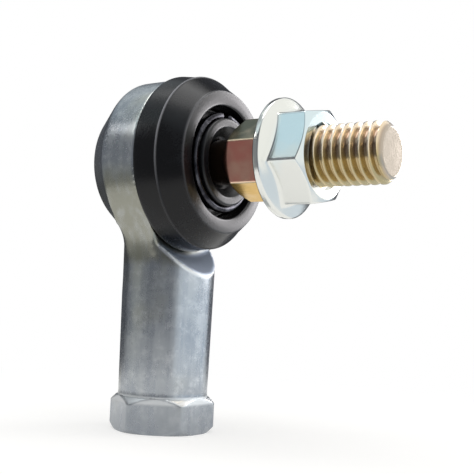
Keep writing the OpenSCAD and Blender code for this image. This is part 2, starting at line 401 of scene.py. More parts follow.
@dataclass(frozen=True)
class YellowChromate:
    """Yellow-chromated zinc plate, whose film shifts in tint from face to face and round the thread, with
    painted shade on the neck, painted reflection and shade on two hexagon faces, and painted light on the
    thread.
    """

    # Film hues of the hexagon's faces; the lower face's bright gold and the upper face's near-black green are
    # painted reflection and shade.
    gold: Colour = (0.72, 0.45, 0.1)
    red: Colour = (0.72, 0.27, 0.21)
    green: Colour = (0.1, 0.11, 0.06)
    # Thread tints: olive below and straw above are painted light from above, and straw is also the film's
    # haze and the corners' painted highlight; root is painted shade in the roots; pale is a painted highlight
    # on the crests.
    olive: Colour = (0.58, 0.46, 0.235)
    straw: Colour = (0.86, 0.7, 0.5)
    # Painted shade: near-black for the stud's neck and shoulder inside the boot's mouth.
    brown: Colour = (0.07, 0.045, 0.03)
    root: Colour = (0.2, 0.12, 0.09)
    pale: Colour = (0.85, 0.77, 0.68)
    end: Colour = (0.5, 0.43, 0.35)
    fine: Noise = Noise(0.9)
    haze: Noise = Noise(0.3, 2.0, span=(0.45, 0.75), share=0.35)
    grain: Noise = Noise(3.0, 4.0)
    face_blur: float = 0.8
    corner_blurs: Span = (0.5, 3.0)
    corner_share: float = 0.8
    straw_span: Span = (-1.2, 1.8)
    straw_ragged: float = 3.0
    relief_span: Span = (-1.4, 0.4)
    relief_ragged: float = 2.0
    root_depth: float = 0.45
    root_share: float = 0.75
    root_calm: float = 0.3
    crest_span: Span = (-0.16, -0.04)
    crest_shares: Span = (0.1, 0.5)
    end_span: Span = (-0.5, -0.05)
    neck_fade: float = 0.3
    thread_fade: float = 0.1
    roughness: float = 0.2
    fine_rough: float = 0.16
    relief: float = 0.006
    metal: float = 0.85
    coat: float = 0.25
    coat_roughness: float = 0.12

    def build(self, stud: "BallStud") -> bpy.types.Material:
        """Makes the material.

        Args:
            stud: The stud, whose hexagon and thread set where the tints change.

        Returns:
            The finished material.
        """
        s = Surface("yellow_chromate", stud.centre)
        x, _, _ = s.parts(s.even)
        fine = s.noise(self.fine)
        # Painted shade: the neck and shoulder are near-black up to the hexagon.
        ahead = x.step((stud.neck_end, stud.hexagon_start + self.neck_fade))
        tone = s.mix(ahead, self.brown, self._faces(s, stud))
        ahead = x.step((stud.hexagon_end - self.thread_fade, stud.hexagon_end))
        tone = s.mix(ahead, tone, self._thread(s, stud, fine))
        rough = self.roughness + fine.sway(self.fine_rough)
        return s.finish(
            s.noise(self.grain), self.relief, Base_Color=tone, Metallic=self.metal, Roughness=rough,
            Coat_Weight=self.coat, Coat_Roughness=self.coat_roughness)

    def _faces(self, s: Surface, stud: "BallStud") -> Wire:
        """Tints of the hexagon: the film's gold, red and green by face, where the bright lower face and
        near-black upper face are painted reflection and shade, with straw on the corners as a painted
        highlight.

        Args:
            s: The material's tree.
            stud: The stud.

        Returns:
            The tint.
        """
        _, y, z = s.parts(s.even)
        edge = math.radians(Hexagon.HALF_FACE)
        blur = math.radians(self.face_blur)
        angle = s.math("ARCTAN2", z, y * -1.0) - (math.pi - math.radians(stud.hexagon.turn))
        tint = s.mix(angle.step((-edge - blur, -edge + blur)), self.gold, self.red)
        tint = s.mix(angle.step((edge - blur, edge + blur)), tint, self.green)
        tint = s.mix(s.patches(self.haze), tint, self.straw)
        # Painted highlight: straw on the hexagon's corners.
        near, far = (blur * b for b in self.corner_blurs)
        corner = s.math("PINGPONG", angle - edge, edge).step((near, far), self.corner_share, 0.0)
        return s.mix(corner, tint, self.straw)

    def _thread(self, s: Surface, stud: "BallStud", fine: Wire) -> Wire:
        """Tints of the thread: straw above and olive below as painted light from above, painted shade in the
        roots and painted highlights on the crests, both stronger on top, and a bare end.

        Args:
            s: The material's tree.
            stud: The stud.
            fine: The film's fine pattern.

        Returns:
            The tint.
        """
        x, _, z = s.parts(s.even)
        radius = s.off_axis()
        # Painted light: the thread is paler on top and olive below.
        tint = s.mix((z + fine.sway(self.straw_ragged)).step(self.straw_span), self.olive, self.straw)
        height = z + fine.sway(self.relief_ragged)
        # Painted shade in the roots and painted highlights on the crests, both stronger towards the top.
        root = (radius - stud.root_r).step((0.0, self.root_depth), self.root_share, 0.0)
        tint = s.mix(root * height.step(self.relief_span, self.root_calm), tint, self.root)
        crest = (radius - stud.crest_r).step(self.crest_span)
        tint = s.mix(crest * height.step(self.relief_span, *self.crest_shares), tint, self.pale)
        return s.mix((x - stud.tip).step(self.end_span), tint, self.end)


@dataclass(frozen=True)
class WhiteZinc:
    """Bright white zinc plate with fine marks from tumbling and a faint blue passivation, painted only on the
    upper part of the hexagon as a painted sky reflection.
    """

    white: Colour = (0.78, 0.79, 0.75)
    blue: Colour = (0.66, 0.77, 0.8)
    clouds: Noise = Noise(0.22, 3.0, 0.6)
    marks: Noise = Noise(2.2, 4.0, 0.6, (0.5, 1.0, 1.0))
    blue_climb: float = 0.12
    blue_span: Span = (0.3, 0.75)
    cone_span: Span = (-0.5, 0.5)
    roughness: float = 0.16
    mark_rough: float = 0.14
    cloud_rough: float = 0.1
    relief: float = 0.005

    def build(self, nut: "FlangeNut") -> bpy.types.Material:
        """Makes the material.

        Args:
            nut: The nut, whose hexagon is painted bluer on its upper part than its flange, as a painted sky
                reflection.

        Returns:
            The finished material.
        """
        s = Surface("white_zinc", nut.centre)
        x, _, z = s.parts(s.even)
        cloud, marks = s.noise(self.clouds), s.noise(self.marks)
        # Painted reflection: blue on the upper part of the hexagon and crown, none on the flange.
        upper = (z * self.blue_climb + cloud).step(self.blue_span)
        tone = s.mix(upper * (x - nut.cone_end).step(self.cone_span), self.white, self.blue)
        rough = self.roughness + marks.sway(self.mark_rough) + cloud.sway(self.cloud_rough)
        return s.finish(marks, self.relief, Base_Color=tone, Metallic=1.0, Roughness=rough)


@dataclass(frozen=True)
class BootRubber:
    """Black moulded rubber with a faint bloom, a satin mould skin, grey lines on the edges that are partly
    wear and partly a painted highlight, and a rubbed face.
    """

    WORN: ClassVar[str] = "worn"
    RUBBED: ClassVar[str] = "rubbed"
    black: Colour = (0.006, 0.006, 0.007)
    bloom: Colour = (0.014, 0.015, 0.018)
    # Grey of the lines on the crease and the face's edge: partly wear, partly a painted highlight.
    worn: Colour = (0.3, 0.3, 0.32)
    clouds: Noise = Noise(0.14, 4.0, 0.6)
    grain: Noise = Noise(3.2, 4.0, 0.6)
    bloom_span: Span = (0.4, 0.72)
    worn_span: Span = (0.2, 0.5)
    worn_share: float = 0.6
    roughness: float = 0.27
    cloud_rough: float = 0.2
    grain_rough: float = 0.08
    rubbed_roughness: float = 0.3
    gloss: float = 0.28
    relief: float = 0.008

    def build(self, centre: Vector) -> bpy.types.Material:
        """Makes the material.

        Args:
            centre: The ball centre, in metres.

        Returns:
            The finished material.
        """
        s = Surface("boot_rubber", centre)
        cloud, grain = s.noise(self.clouds), s.noise(self.grain)
        tone = s.mix(cloud.step(self.bloom_span), self.black, self.bloom)
        # Grey lines on the crease and the face's edge, broken by the clouds: partly wear, partly a painted
        # highlight.
        tone = s.mix(s.stored(self.WORN) * cloud.step(self.worn_span, self.worn_share), tone, self.worn)
        rough = self.roughness + cloud.sway(self.cloud_rough) + grain.sway(self.grain_rough)
        return s.finish(
            grain, self.relief, Base_Color=tone, Roughness=rough, Specular_IOR_Level=self.gloss,
            Coat_Weight=s.stored(self.RUBBED), Coat_Roughness=self.rubbed_roughness)


@dataclass(frozen=True)
class PlainSteel:
    """Bare steel with a film on it in places, and fine lines or grain."""

    name: str
    bare: Colour
    film: Colour
    films: Noise
    lines: Noise
    roughness: float
    relief: float
    film_rough: float = 0.0
    line_rough: float = 0.0

    def build(self, centre: Vector) -> bpy.types.Material:
        """Makes the material.

        Args:
            centre: The ball centre, in metres.

        Returns:
            The finished material.
        """
        s = Surface(self.name, centre)
        film, lines = s.patches(self.films), s.noise(self.lines)
        tone = s.mix(film, self.bare, self.film)
        rough = self.roughness + film * self.film_rough + lines.sway(self.line_rough)
        return s.finish(lines, self.relief, Base_Color=tone, Metallic=1.0, Roughness=rough)


RING_WIRE = PlainSteel(
    "ring_wire", bare=(0.02, 0.02, 0.025), film=(0.1, 0.1, 0.115), roughness=0.28, relief=0.006,
    films=Noise(0.5, 4.0, 0.6, span=(0.35, 0.65)), lines=Noise(1.4, stretch=(6.0, 1.0, 1.0)), line_rough=0.2)
BALL_STEEL = PlainSteel(
    "ball_steel", bare=(0.6, 0.61, 0.63), film=(0.4, 0.36, 0.26), roughness=0.12, relief=0.003,
    films=Noise(0.3, span=(0.42, 0.66)), lines=Noise(2.0), film_rough=0.2)


def smooth_most(a: Sizes, b: Sizes, blend: float) -> Sizes:
    """Larger of two sizes, with the step between them rounded over a blend length."""
    part = np.clip(0.5 + 0.5 * (a - b) / blend, 0.0, 1.0)
    return b + (a - b) * part + blend * part * (1.0 - part)


def smooth_least(a: Sizes, b: Sizes, blend: float) -> Sizes:
    """Smaller of two sizes, with the step between them rounded over a blend length."""
    return -smooth_most(-a, -b, blend)


def ramp(values: np.ndarray, span: Span, least: float = 0.0) -> np.ndarray:
    """Straight ramp from 0 at a span's start to 1 at its end, and never below least."""
    return np.clip((values - span[0]) / (span[1] - span[0]), least, 1.0)


def stretches(*parts: tuple[float, float, int]) -> np.ndarray:
    """Places along an axis, evenly spaced in each part of (start, end, count)."""
    return np.concatenate([np.linspace(*part) for part in parts])


def around(count: int) -> np.ndarray:
    """Evenly spaced angles round a circle, in radians."""
    return np.linspace(0.0, 2 * math.pi, count, endpoint=False)


def rounded(corners: Sequence[tuple[float, float, float]], step: float) -> np.ndarray:
    """Closed outline whose corners are rounded and whose sides are cut into short lengths.

    Args:
        corners: Each corner as (x, r, radius).
        step: Longest side of the result.

    Returns:
        The outline's points as rows of (x, r).
    """
    straight = math.radians(89.0)
    fewest = 3
    flat = np.array([c[:2] for c in corners])
    points: list[np.ndarray] = []
    for i, (_, _, radius) in enumerate(corners):
        before, here, after = flat[i - 1], flat[i], flat[(i + 1) % len(flat)]
        u = (before - here) / np.linalg.norm(before - here)
        v = (after - here) / np.linalg.norm(after - here)
        half = math.acos(float(np.clip(u @ v, -1.0, 1.0))) / 2
        if radius == 0.0 or half > straight:
            points.append(here)
            continue
        middle = here + (u + v) / np.linalg.norm(u + v) * radius / math.sin(half)
        first = here + u * radius / math.tan(half) - middle
        last = here + v * radius / math.tan(half) - middle
        turn = math.pi - 2 * half
        count = max(fewest, math.ceil(radius * turn / step))
        for t in np.linspace(0.0, 1.0, count + 1):
            swing = first * math.sin((1 - t) * turn) + last * math.sin(t * turn)
            points.append(middle + swing / math.sin(turn))
    dense: list[np.ndarray] = []
    for a, b in zip(points, points[1:] + points[:1]):
        count = max(1, math.ceil(float(np.linalg.norm(b - a)) / step))
        dense += [a + (b - a) * t / count for t in range(count)]
    return np.array(dense)


def in_frame(points: np.ndarray, centre: Vector, axis: Axis = Axis.STUD) -> np.ndarray:
    """Rows of (along, across, across) in millimetres from a centre, as points of the frame in metres."""
    return points[:, list(axis.value)] * MM + np.array(centre)


def added(name: str, data: bpy.types.ID) -> bpy.types.Object:
    """New object in the scene.

    Args:
        name: The object's name.
        data: Its mesh, lamp or camera.

    Returns:
        The object.
    """
    thing = bpy.data.objects.new(name, data)
    bpy.context.scene.collection.objects.link(thing)
    return thing


def points_of(piece: bpy.types.Object) -> np.ndarray:
    """Places of a piece's vertices.

    Args:
        piece: The piece.

    Returns:
        The places as rows of (x, y, z), in metres.
    """
    flat = np.empty(len(piece.data.vertices) * 3)
    piece.data.vertices.foreach_get("co", flat)
    return flat.reshape(-1, 3)


def tidy(piece: bpy.types.Object, crease: float = 38.0) -> None:
    """Merges doubles, turns the normals outwards and shades smooth.

    Args:
        piece: The piece.
        crease: Angle in degrees past which an edge stays sharp.
    """
    double, sliver = 0.002, 0.001
    bm = bmesh.new()
    bm.from_mesh(piece.data)
    bmesh.ops.remove_doubles(bm, verts=bm.verts, dist=double * MM)
    bmesh.ops.dissolve_degenerate(bm, dist=sliver * MM, edges=bm.edges)
    bmesh.ops.recalc_face_normals(bm, faces=bm.faces)
    bm.to_mesh(piece.data)
    bm.free()
    piece.data.shade_smooth()
    piece.data.set_sharp_from_angle(angle=math.radians(crease))


def mesh_piece(name: str, points: np.ndarray, faces: Iterable[Sequence[int]]) -> bpy.types.Object:
    """Object with a smooth mesh whose normals point outwards.

    Args:
        name: The piece's name.
        points: Rows of (x, y, z), in metres.
        faces: Numbers of each face's points.

    Returns:
        The piece.
    """
    mesh = bpy.data.meshes.new(name)
    mesh.from_pydata(points.tolist(), [], [list(f) for f in faces])
    piece = added(name, mesh)
    tidy(piece)
    return piece


def grid_faces(rows: int, columns: int, closed: bool) -> list[tuple[int, int, int, int]]:
    """Faces of a grid that is closed round its columns.

    Args:
        rows: Number of rows of points.
        columns: Number of points in a row.
        closed: Whether the last row joins the first.

    Returns:
        The numbers of each face's points.
    """
    last = rows if closed else rows - 1
    return [
        (i * columns + j, i * columns + (j + 1) % columns,
         (i + 1) % rows * columns + (j + 1) % columns, (i + 1) % rows * columns + j)
        for i in range(last) for j in range(columns)
    ]


def turned(name: str, x: np.ndarray, r: np.ndarray, angles: np.ndarray, centre: Vector, closed: bool,
           axis: Axis = Axis.STUD) -> bpy.types.Object:
    """Piece turned about an axis.

    Args:
        name: The piece's name.
        x: Place along the axis, for each row or for each row and angle.
        r: Radius, in the same form.
        angles: Angles about the axis in radians, for all rows or for each row and place.
        centre: Origin of the axis, in metres.
        closed: Whether the last row joins the first, as on a ring.
        axis: The axis that the piece is turned about.

    Returns:
        The piece.
    """
    x, r = (np.broadcast_to(a.reshape(len(a), -1), (len(a), len(angles))) for a in (x, r))
    points = np.stack([x, r * np.cos(angles), r * np.sin(angles)], axis=-1).reshape(-1, 3)
    return mesh_piece(name, in_frame(points, centre, axis), grid_faces(len(x), len(angles), closed))


def settled(piece: bpy.types.Object) -> None:
    """Turns the result of a piece's modifiers into its plain mesh, and removes them.

    Args:
        piece: The piece.
    """
    bpy.context.view_layer.update()
    graph = bpy.context.evaluated_depsgraph_get()
    mesh = bpy.data.meshes.new_from_object(piece.evaluated_get(graph))
    old = piece.data
    piece.modifiers.clear()
    piece.data = mesh
    mesh.name = piece.name
    bpy.data.meshes.remove(old)


def combined(piece: bpy.types.Object, tool: bpy.types.Object, operation: str) -> None:
    """Joins a tool to a piece or cuts it out of it, and removes the tool.

    Args:
        piece: The piece.
        tool: The tool.
        operation: UNION or DIFFERENCE.
    """
    change = piece.modifiers.new(operation.lower(), "BOOLEAN")
    change.operation = operation
    change.solver = "MANIFOLD"
    change.object = tool
    settled(piece)
    bpy.data.objects.remove(tool)


@dataclass(frozen=True)
class Hexagon:
    """Wrench hexagon about an axis, with softly rounded corners."""

    HALF_FACE: ClassVar[float] = 30.0
    across_flats: float
    turn: float
    sharpness: float = 70.0
    crowding: float = 1.5

    def _six(self, first: float) -> np.ndarray:
        """Six angles in radians, a face apart, from a first one in degrees."""
        return np.radians(first + 2 * self.HALF_FACE * np.arange(6))

    def radius(self, angles: np.ndarray) -> np.ndarray:
        """Radius of the hexagon at each angle."""
        reach = np.clip(np.cos(angles[:, None] - self._six(self.turn)), 0.0, None) ** self.sharpness
        return self.across_flats / 2 / reach.sum(axis=1) ** (1 / self.sharpness)

    def angles(self, per_face: int) -> np.ndarray:
        """Angles round the hexagon, closer together at its corners.

        Args:
            per_face: Number of angles for each face.

        Returns:
            The angles in radians.
        """
        t = np.linspace(-1.0, 1.0, per_face, endpoint=False)
        local = np.radians(self.HALF_FACE) * np.sign(t) * np.abs(t) ** self.crowding
        return (self._six(self.turn + self.HALF_FACE)[:, None] + local).ravel()


class ThreadTree:
    """Geometry Nodes tree that draws a closed screw thread along +X, in millimetres."""

    SIZES = ("Crest Radius", "Root Radius", "Pitch", "Start", "End", "Tip Radius", "Tip Length")
    AROUND = 96
    PER_PITCH = 16
    SPARE_TURNS = 4
    LEAD_TURNS = 3.0
    FLANK = (0.2, 0.9)
    MERGE = 0.004

    def __init__(self, name: str, longest: float) -> None:
        """Builds the tree.

        Args:
            name: The tree's name.
            longest: Longest thread that the tree has rows for.
        """
        self.group = bpy.data.node_groups.new(name, "GeometryNodeTree")
        self.turns = math.ceil(longest / PITCH) + self.SPARE_TURNS
        face = self.group.interface
        kinds = {**dict.fromkeys(self.SIZES, "NodeSocketFloat"), "Material": "NodeSocketMaterial"}
        self.ids = {n: face.new_socket(n, in_out="INPUT", socket_type=k).identifier for n, k in kinds.items()}
        face.new_socket("Geometry", in_out="OUTPUT", socket_type="NodeSocketGeometry")
        self._build()

    def _build(self) -> None:
        """Adds the nodes: a grid that is rolled up along the helix and shaped by the thread's profile."""
        t = Tree(self.group)
        given = t.add("NodeGroupInput")
        crest, root, pitch, start, end, tip_r, tip_len = (given.out(n) for n in self.SIZES)
        rows = self.turns * self.PER_PITCH + 1
        grid = t.add("GeometryNodeMeshGrid", None, 1.0, 1.0, self.AROUND + 1, rows)
        across, up, _ = t.parts(t.add("GeometryNodeInputPosition"))
        lap = across + 0.5
        climb = (up + 0.5) * self.turns
        raw = start + (climb + lap - self.LEAD_TURNS) * pitch
        along = raw.most(start).least(end)
        flank = t.math("PINGPONG", climb * 2.0, 1.0).step(self.FLANK)
        thread = root + (crest - root) * flank
        cone = tip_r + (end - along) * ((crest - tip_r) / tip_len)
        rear = 1.0 - ((start - raw) / pitch).most(0.0).least(1.0)
        front = 1.0 - ((raw - end) / pitch).most(0.0).least(1.0)
        radius = thread.least(cone) * rear * front
        angle = lap * (2.0 * math.pi)
        sides = (radius * t.math(side, angle) for side in ("COSINE", "SINE"))
        spot = t.add("ShaderNodeCombineXYZ", None, along, *sides)
        rolled = t.add("GeometryNodeSetPosition", None, grid, Position=spot)
        merged = t.add("GeometryNodeMergeByDistance", None, rolled, Distance=self.MERGE)
        real = t.add("GeometryNodeRealizeInstances", None, merged)
        dressed = t.add("GeometryNodeSetMaterial", None, real, Material=given.out("Material"))
        t.add("NodeGroupOutput", None, dressed)

    def piece(self, name: str, centre: Vector, axis: Axis, material: bpy.types.Material,
              **sizes: float) -> bpy.types.Object:
        """Plain mesh of one thread.

        Args:
            name: The piece's name.
            centre: Origin of the thread's axis, in metres.
            axis: The axis that the thread runs along.
            material: The thread's finish.
            sizes: The tree's inputs by name, with spaces as underscores, in millimetres.

        Returns:
            The thread as a mesh in the frame.
        """
        piece = added(name, bpy.data.meshes.new(name))
        maker = piece.modifiers.new("thread", "NODES")
        maker.node_group = self.group
        for key, size in sizes.items():
            maker[self.ids[key.replace("_", " ")]] = float(size)
        maker[self.ids["Material"]] = material
        settled(piece)
        piece.data.vertices.foreach_set("co", in_frame(points_of(piece), centre, axis).ravel())
        tidy(piece)
        return piece


@dataclass
class Housing:
    """Cast housing, softened from the solid as a die casting's edges are, with its rod thread cut."""

    LEVELS: ClassVar[int] = 10
    SOFTENING: ClassVar[float] = 0.5
    centre: Vector
    rod_mount: dict[str, Any]
    voxel: float = 0.24
    rounds: int = 5
    neck: Span = (9.0, 18.5)
    neck_front: float = 3.2
    neck_fade: float = 2.0
    neck_rounds: int = 160
    shank_r: float = 6.28
    step_rise: float = 0.3
    step_kept: float = 0.05
    core_drop: float = 0.1
    core_share: float = 0.88
    core_end: float = 0.4
    collar: Hexagon = Hexagon(13.0, 0.0)
    collar_r: float = 7.356
    collar_h: float = 4.8
    collar_chamfer: float = 0.8
    collar_inner: float = 5.0
    corner_blend: float = 0.1
    chamfer_blend: float = 0.12
    per_face: int = 40
    end_rows: int = 14
    side_rows: int = 12
    mouth_r: float = 4.3
    hole_under: float = 0.2
    tap_depth: float = 0.6
    tap_play: float = 0.03
    tap_start: float = -1.0
    tap_short: float = 0.4
    tap_taper: float = 1.0
    scoop_r: float = 12.9
    scoop_start: float = 2.5
    scoop_slope: float = 0.649
    sharp: float = 50.0
    finish: CastZinc = CastZinc()

    def build(self, threads: ThreadTree) -> bpy.types.Object:
        """Makes the housing.

        Args:
            threads: Tree that draws the tap's thread.

        Returns:
            The housing in its finish.
        """
        material = self.finish.build(self)
        piece = added("cast_housing", frame["nodes"]["housing"].data.copy())
        tidy(piece)
        skin = piece.modifiers.new("skin", "REMESH")
        skin.mode = "VOXEL"
        skin.voxel_size = self.voxel * MM
        settled(piece)
        x, _, z = points_of(piece).T / MM
        depth = self.centre.z / MM - z
        low, high = self.neck
        neck = ramp(depth, (low, low + self.neck_fade)) * ramp(depth, (high, high - self.neck_fade))
        neck *= ramp(x, (self.neck_front, self.neck_front - self.neck_fade))
        self._soften(piece, "edges", np.ones(len(x)), self.rounds)
        self._soften(piece, "neck", neck, self.neck_rounds)
        self._inside_box(piece)
        combined(piece, self._collar(), "UNION")
        combined(piece, self._tap(threads, material), "DIFFERENCE")
        piece.data.shade_smooth()
        piece.data.set_sharp_from_angle(angle=math.radians(self.sharp))
        piece.data.materials.clear()
        piece.data.materials.append(material)
        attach(piece, "housing_body")
        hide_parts("housing")
        return piece

    def _soften(self, piece: bpy.types.Object, name: str, weights: np.ndarray, rounds: int) -> None:
        """Smooths a piece where its weights are above 0.

        Args:
            piece: The piece.
            name: Name of the vertex group that holds the weights.
            weights: One weight from 0 to 1 for each vertex.
            rounds: Number of smoothing passes.
        """
        group = piece.vertex_groups.new(name=name)
        levels = np.round(weights * self.LEVELS).astype(int)
        for level in range(1, self.LEVELS + 1):
            group.add(np.flatnonzero(levels == level).tolist(), level / self.LEVELS, "REPLACE")
        soften = piece.modifiers.new(name, "SMOOTH")
        soften.factor = self.SOFTENING
        soften.iterations = rounds
        soften.vertex_group = name
        settled(piece)
        piece.vertex_groups.clear()

    def _inside_box(self, piece: bpy.types.Object) -> None:
        """Keeps every vertex inside the solid's box, and makes room for the collar.

        The ledge just above the collar is drawn in to the shank, and the core that the collar goes round
        is shrunk, so that the collar covers it.

        Args:
            piece: The softened casting.
        """
        low, high = (np.array(corner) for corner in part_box("housing"))
        spots = np.clip(points_of(piece), low, high)
        wide = np.hypot(spots[:, 0], spots[:, 1]) / (self.shank_r * MM)
        rim = (spots[:, 2] < (self.collar_h + self.step_rise) * MM) & (wide > 1.0)
        spots[rim, :2] *= ((1.0 + (wide[rim] - 1.0) * self.step_kept) / wide[rim])[:, None]
        core = spots[:, 2] < (self.collar_h - self.core_drop) * MM
        spots[core, :2] *= self.core_share
        spots[core, 2] = np.maximum(spots[core, 2], self.core_end * MM)
        piece.data.vertices.foreach_set("co", spots.ravel())

    def _collar(self) -> bpy.types.Object:
        """Wrench collar with chamfered ends, a countersunk mouth and a hole narrower than the tap.

        Returns:
            The collar as a tool to join to the casting.
        """
        angles = self.collar.angles(self.per_face)
        top, end = self.collar_h, self.collar_chamfer * 2
        side = stretches(
            (0.0, end, self.end_rows), (end, top - end, self.side_rows), (top - end, top, self.end_rows))
        inset = self.collar_chamfer - np.minimum(side, top - side)
        corners = smooth_least(self.collar.radius(angles), self.collar_r, self.corner_blend)
        outer = smooth_least((self.collar_r - inset)[:, None], corners[None, :], self.chamfer_blend)
        hole = self.rod_mount["dims"]["r_mm"] - self.hole_under
        rings = [(top, self.collar_inner), (top, hole), (self.mouth_r - hole, hole), (0.0, self.mouth_r)]
        x = np.concatenate([side, [z for z, _ in rings]])
        r = np.concatenate([outer, [np.full(len(angles), radius) for _, radius in rings]])
        return turned("collar", x, r, angles, Vector(), True, Axis.SHANK)

    def _tap(self, threads: ThreadTree, material: bpy.types.Material) -> bpy.types.Object:
        """Tap-shaped tool along the shank, from below the end face to the end of the thread.

        Args:
            threads: Tree that draws the thread.
            material: The casting's finish.

        Returns:
            The tool.
        """
        dims = self.rod_mount["dims"]
        top = self.rod_mount["pos_m"][2] / MM + dims["length_mm"] / 2
        root = dims["r_mm"] + self.tap_play
        return threads.piece(
            "tap", Vector(), Axis.SHANK, material, Pitch=PITCH, Crest_Radius=dims["r_mm"] + self.tap_depth,
            Root_Radius=root, Start=self.tap_start, End=top - self.tap_short, Tip_Radius=root,
            Tip_Length=self.tap_taper)


@dataclass
class BallStud:
    """Plated stud: neck, shoulder, wrench hexagon and thread, in one piece."""

    THREAD_DEPTH: ClassVar[float] = 0.6134 * PITCH
    centre: Vector
    thread_mount: dict[str, Any]
    weld: float
    tip: float
    hexagon_end: float
    neck_r: float = 3.1
    neck_end: float = 10.6
    neck_blend: float = 0.5
    shoulder_share: float = 0.95
    shoulder_blend: float = 0.15
    hexagon_start: float = 12.2
    hexagon: Hexagon = Hexagon(9.8, 190.5)
    chamfer_slope: float = math.sqrt(3.0)
    chamfer_blend: float = 0.18
    per_face: int = 26
    neck_rows: int = 10
    shoulder_rows: int = 40
    flat_rows: int = 12
    shoulder_span: Span = (-0.5, 1.6)
    row_gaps: Span = (0.1, 0.2)
    thread_sunk: float = 1.0
    tip_chamfer: float = 0.9
    crease: float = 45.0
    finish: YellowChromate = YellowChromate()

    @property
    def crest_r(self) -> float:
        """Radius of the thread's crests."""
        return self.thread_mount["dims"]["r_mm"]

    @property
    def root_r(self) -> float:
        """Radius of the thread's roots."""
        return self.crest_r - self.THREAD_DEPTH

    def build(self, threads: ThreadTree) -> bpy.types.Object:
        """Makes the stud.

        Args:
            threads: Tree that draws the stud's thread.

        Returns:
            The stud in its finish.
        """
        material = self.finish.build(self)
        angles = self.hexagon.angles(self.per_face)
        shoulder = self.hexagon.across_flats / 2 * self.shoulder_share
        start, end = self.neck_end + self.shoulder_span[0], self.hexagon_start + self.shoulder_span[1]
        x = stretches(
            (self.weld, self.weld, 2), (self.weld, start - self.row_gaps[0], self.neck_rows),
            (start, end, self.shoulder_rows), (end + self.row_gaps[1], self.hexagon_end, self.flat_rows),
            (self.hexagon_end, self.hexagon_end, 2))
        slope = (shoulder - self.neck_r) / (self.hexagon_start - self.neck_end)
        cone = smooth_most(self.neck_r, self.neck_r + (x - self.neck_end) * slope, self.neck_blend)
        body = smooth_least(cone, shoulder, self.shoulder_blend)
        chamfer = shoulder + (x - self.hexagon_start) * self.chamfer_slope
        flats = smooth_least(chamfer[:, None], self.hexagon.radius(angles), self.chamfer_blend)
        r = np.where((x >= self.hexagon_start)[:, None], flats, body[:, None])
        r[[0, -1]] = 0.0
        piece = turned("ball_stud", x, r, angles, self.centre, False)
        thread = threads.piece(
            "stud_thread", self.centre, Axis.STUD, material, Pitch=PITCH, Crest_Radius=self.crest_r,
            Root_Radius=self.root_r, Start=self.hexagon_end - self.thread_sunk, End=self.tip,
            Tip_Radius=self.crest_r - self.tip_chamfer, Tip_Length=self.tip_chamfer)
        combined(piece, thread, "UNION")
        tidy(piece, self.crease)
        piece.data.materials.clear()
        piece.data.materials.append(material)
        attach(piece, "stud_body")
        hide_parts("stud")
        return piece


@dataclass
class FlangeNut:
    """Hexagon nut with a coned flange and a chamfered crown."""

    centre: Vector
    seat: float
    crown: float
    flange_r: float
    bore_r: float = 3.65
    mouth_r: float = 4.4
    rim: float = 0.9
    edge: float = 0.3
    cone_angle: float = 25.0
    cone_length: float = 2.0
    hexagon: Hexagon = Hexagon(11.8, 222.0)
    crown_share: float = 0.95
    crown_under: float = 0.1
    chamfer_slope: float = math.sqrt(3.0)
    rim_blend: float = 0.35
    chamfer_blend: float = 0.15
    flange_blend: float = 0.55
    per_face: int = 30
    edge_rows: tuple[float, ...] = (0.0, 0.03, 0.08, 0.15, 0.25, 0.4, 0.6)
    cone_rows: tuple[float, float, int] = (0.7, 3.0, 32)
    flat_rows: tuple[float, float, int] = (3.2, 1.3, 8)
    chamfer_rows: tuple[float, int] = (1.2, 34)
    bearing_rows: int = 8
    face_rows: int = 6
    finish: WhiteZinc = WhiteZinc()

    @property
    def cone_end(self) -> float:
        """Where the flange's cone ends."""
        return self.seat + self.cone_length

    def build(self) -> bpy.types.Object:
        """Makes the nut.

        Returns:
            The nut in its finish.
        """
        angles = self.hexagon.angles(self.per_face)
        crown_r = self.hexagon.across_flats / 2 * self.crown_share
        flat_start, flat_end, flat_count = self.flat_rows
        chamfer_start, chamfer_count = self.chamfer_rows
        flange_rows = np.concatenate([self.edge_rows, stretches(self.cone_rows)])
        side = np.concatenate([self.seat + flange_rows, stretches(
            (self.seat + flat_start, self.crown - flat_end, flat_count),
            (self.crown - chamfer_start, self.crown, chamfer_count))])
        into = side - self.seat
        rim = self.flange_r - self.edge * (1 - np.sqrt(1 - np.clip(1 - into / self.edge, 0, 1) ** 2))
        cone = self.flange_r - (into - self.rim) / math.tan(math.radians(self.cone_angle))
        flange = smooth_least(rim, cone, self.rim_blend)
        chamfer = crown_r + (self.crown - side) * self.chamfer_slope
        hexagon = smooth_least(chamfer[:, None], self.hexagon.radius(angles), self.chamfer_blend)
        outer = smooth_most(flange[:, None], hexagon, self.flange_blend)
        bearing = np.linspace(self.bore_r, self.flange_r - self.edge, self.bearing_rows)[:-1]
        face = np.linspace(crown_r - self.crown_under, self.mouth_r, self.face_rows)
        x = np.concatenate([np.full(len(bearing), self.seat), side, np.full(len(face), self.crown),
                            [self.crown - (self.mouth_r - self.bore_r)]])
        ones = np.ones(len(angles))
        r = np.concatenate([bearing[:, None] * ones, outer, face[:, None] * ones, [self.bore_r * ones]])
        piece = turned("flange_nut_plated", x, r, angles, self.centre, True)
        piece.data.materials.append(self.finish.build(self))
        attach(piece, "stud_body")
        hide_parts("flange_nut")
        return piece


